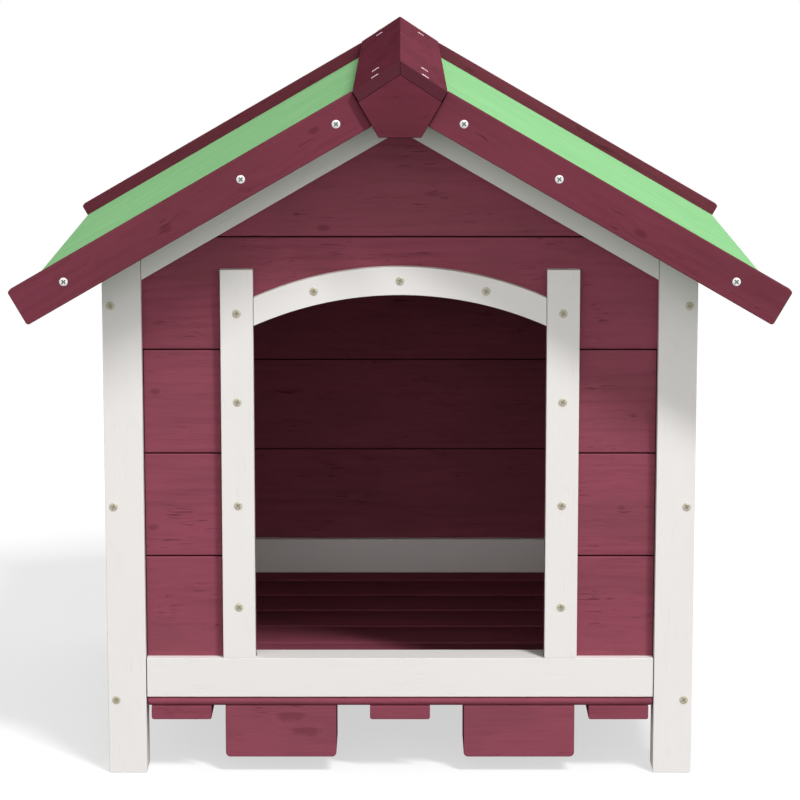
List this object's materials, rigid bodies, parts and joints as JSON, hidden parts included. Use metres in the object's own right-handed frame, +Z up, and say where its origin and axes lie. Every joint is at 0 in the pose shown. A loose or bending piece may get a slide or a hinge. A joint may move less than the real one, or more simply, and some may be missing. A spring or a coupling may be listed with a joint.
{
  "type": "dog house",
  "caption": "Small wooden dog house on feet, with a pitched roof, plank walls and an open arched doorway.",
  "frame": {"origin": "on the ground, in the middle of the house's footprint", "axes": "+Z up, the doorway faces -Y, +X to the right as seen from in front of the doorway"},
  "size_m": [0.6468, 0.6606, 0.6223],
  "materials": {
    "red_stained_wood": "wine red wood stain, satin, grain shows through",
    "white_painted_wood": "white wood paint, satin",
    "green_painted_wood": "mint green wood paint, satin",
    "plated_screw": "yellow zinc plated steel",
    "white_screw": "white painted steel",
    "staple_wire": "bright steel wire"
  },
  "bodies": {
    "root": {"back_bottom_rail": "white_painted_wood", "back_gable_plank": "red_stained_wood", "back_left_barge_board": "red_stained_wood", "back_left_post": "white_painted_wood", "back_left_rafter": "white_painted_wood", "back_plank_1": "red_stained_wood", "back_plank_2": "red_stained_wood", "back_plank_3": "red_stained_wood", "back_plank_4": "red_stained_wood", "back_ridge_block": "red_stained_wood", "back_right_barge_board": "red_stained_wood", "back_right_post": "white_painted_wood", "back_right_rafter": "white_painted_wood", "back_supports": "red_stained_wood", "barge_screws": "white_screw", "centre_floor_batten": "red_stained_wood", "door_arch": "white_painted_wood", "door_screws": "plated_screw", "floor_boards": "red_stained_wood", "front_arch_plank": "red_stained_wood", "front_bottom_rail": "white_painted_wood", "front_gable_plank": "red_stained_wood", "front_left_barge_board": "red_stained_wood", "front_left_plank_1": "red_stained_wood", "front_left_plank_2": "red_stained_wood", "front_left_plank_3": "red_stained_wood", "front_left_post": "white_painted_wood", "front_left_rafter": "white_painted_wood", "front_ridge_block": "red_stained_wood", "front_right_barge_board": "red_stained_wood", "front_right_plank_1": "red_stained_wood", "front_right_plank_2": "red_stained_wood", "front_right_plank_3": "red_stained_wood", "front_right_post": "white_painted_wood", "front_right_rafter": "white_painted_wood", "front_supports": "red_stained_wood", "left_door_casing": "white_painted_wood", "left_floor_batten": "red_stained_wood", "left_ridge_board": "red_stained_wood", "left_roof_sheet": "green_painted_wood", "left_side_bottom_rail": "white_painted_wood", "left_side_plank_1": "red_stained_wood", "left_side_plank_2": "red_stained_wood", "left_side_plank_3": "red_stained_wood", "left_side_plank_4": "red_stained_wood", "left_side_stiles": "white_painted_wood", "left_side_top_rail": "white_painted_wood", "post_screws": "plated_screw", "ridge_staples": "staple_wire", "right_door_casing": "white_painted_wood", "right_floor_batten": "red_stained_wood", "right_ridge_board": "red_stained_wood", "right_roof_sheet": "green_painted_wood", "right_side_bottom_rail": "white_painted_wood", "right_side_plank_1": "red_stained_wood", "right_side_plank_2": "red_stained_wood", "right_side_plank_3": "red_stained_wood", "right_side_plank_4": "red_stained_wood", "right_side_stiles": "white_painted_wood", "right_side_top_rail": "white_painted_wood"}
  },
  "joints": []
}
